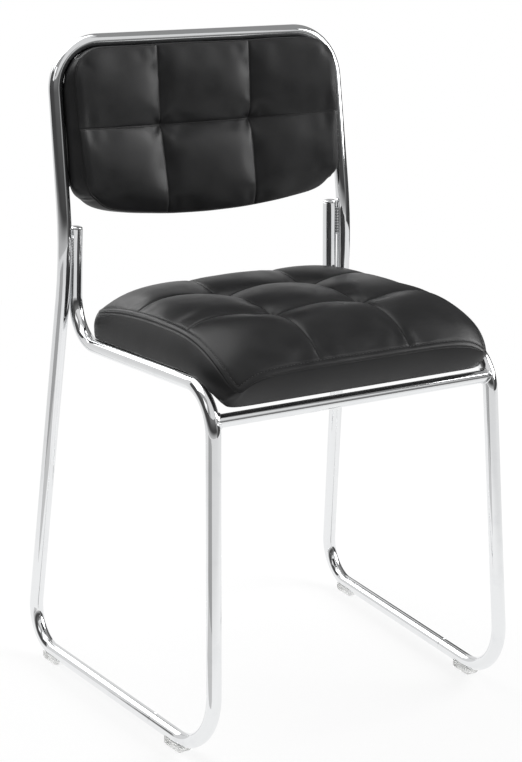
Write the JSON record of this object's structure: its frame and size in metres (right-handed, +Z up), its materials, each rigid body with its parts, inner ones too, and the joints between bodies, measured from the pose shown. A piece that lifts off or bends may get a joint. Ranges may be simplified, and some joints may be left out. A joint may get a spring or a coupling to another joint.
{
  "type": "sled base visitor chair",
  "caption": "Armless visitor chair: bent chromed tube sled frame with an inverted U back hoop, quilted black leatherette seat and back pad, clear glides.",
  "frame": {"origin": "middle of the bounding box's bottom face, on the floor under the chair", "axes": "+Z up, the sitter faces -Y, +X to the right in a view along +Y"},
  "size_m": [0.492, 0.4504, 0.8199],
  "materials": {
    "chrome": "polished",
    "leatherette": "satin",
    "clear_plastic": "satin",
    "zinc_steel": "satin",
    "plywood": "matte",
    "foam": "matte",
    "non_woven": "matte",
    "rear_panel": "satin"
  },
  "bodies": {
    "root": {"back_hoop_tube": "chrome", "side_tube_left": "chrome", "side_tube_right": "chrome", "rail_sleeve_left": "zinc_steel", "rail_sleeve_right": "zinc_steel", "front_crossbar": "chrome", "rear_crossbar": "chrome", "stub_weld_left_front": "chrome", "stub_weld_left_rear": "chrome", "stub_weld_right_front": "chrome", "stub_weld_right_rear": "chrome", "end_plug_left": "chrome", "end_plug_right": "chrome", "glide_left_front": "clear_plastic", "glide_left_rear": "clear_plastic", "glide_right_front": "clear_plastic", "glide_right_rear": "clear_plastic", "seat_cover": "leatherette", "seat_foam": "foam", "seat_board": "plywood", "seat_dust_cover": "non_woven", "seat_tab_left_front": "zinc_steel", "seat_tab_left_rear": "zinc_steel", "seat_tab_right_front": "zinc_steel", "seat_tab_right_rear": "zinc_steel", "seat_screw_left_front": "zinc_steel", "seat_screw_left_rear": "zinc_steel", "seat_screw_right_front": "zinc_steel", "seat_screw_right_rear": "zinc_steel", "seat_tee_nut_left_front": "zinc_steel", "seat_tee_nut_left_rear": "zinc_steel", "seat_tee_nut_right_front": "zinc_steel", "seat_tee_nut_right_rear": "zinc_steel", "back_cover": "leatherette", "back_foam": "foam", "back_board": "plywood", "back_rear_panel": "rear_panel", "back_tab_left_low": "zinc_steel", "back_tab_left_high": "zinc_steel", "back_tab_right_low": "zinc_steel", "back_tab_right_high": "zinc_steel", "back_screw_left_low": "zinc_steel", "back_screw_left_high": "zinc_steel", "back_screw_right_low": "zinc_steel", "back_screw_right_high": "zinc_steel", "back_tee_nut_left_low": "zinc_steel", "back_tee_nut_left_high": "zinc_steel", "back_tee_nut_right_low": "zinc_steel", "back_tee_nut_right_high": "zinc_steel"}
  },
  "joints": []
}
